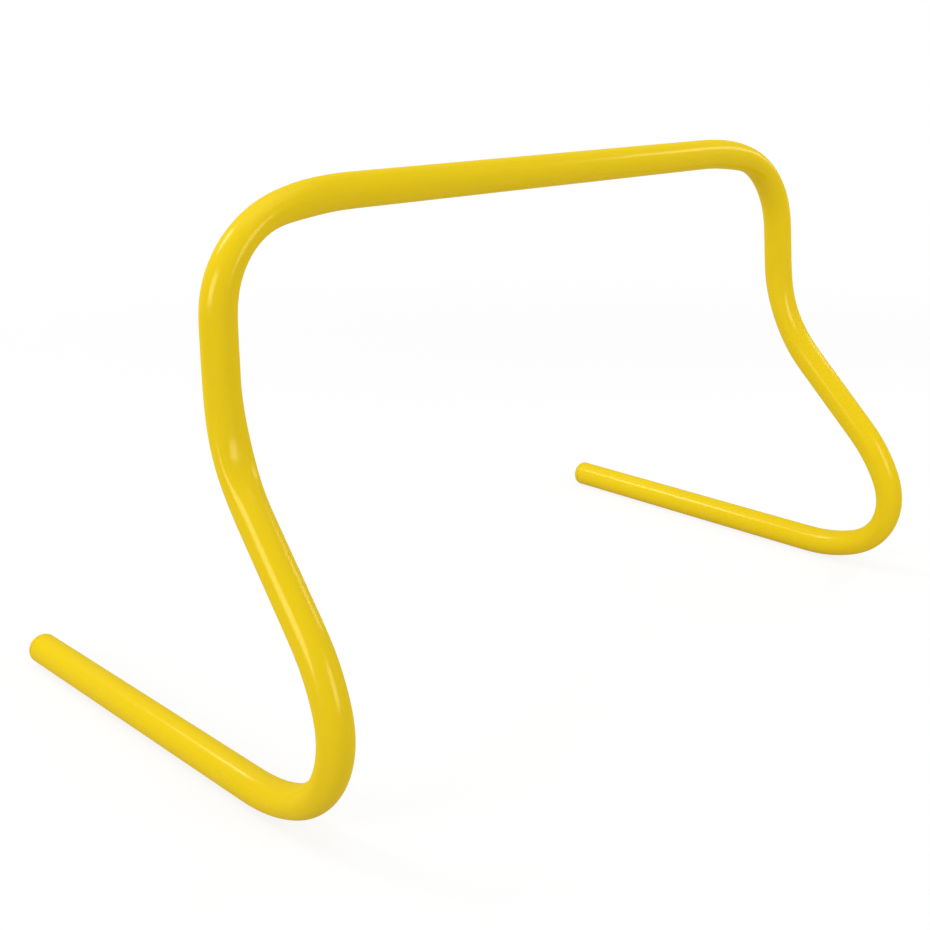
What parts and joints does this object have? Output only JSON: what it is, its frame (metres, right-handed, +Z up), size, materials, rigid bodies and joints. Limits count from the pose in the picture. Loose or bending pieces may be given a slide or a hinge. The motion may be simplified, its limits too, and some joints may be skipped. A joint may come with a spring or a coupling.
{
  "type": "speed hurdle",
  "caption": "Low free-standing training hurdle of bent round tube: a straight crossbar, splayed legs that slope forward and turn back into long flat feet, and plugged ends.",
  "frame": {"origin": "on the floor, in the middle of the hurdle's width and depth", "axes": "+X along the crossbar, +Z up, toes towards -Y and plugged ends towards +Y"},
  "size_m": [0.531, 0.309, 0.31],
  "materials": {
    "tube_plastic": "glossy yellow extruded plastic",
    "plug_plastic": "glossy yellow moulded plastic"
  },
  "bodies": {
    "root": {"hurdle_tube": "tube_plastic", "end_plug_right": "plug_plastic", "end_plug_left": "plug_plastic"}
  },
  "joints": []
}
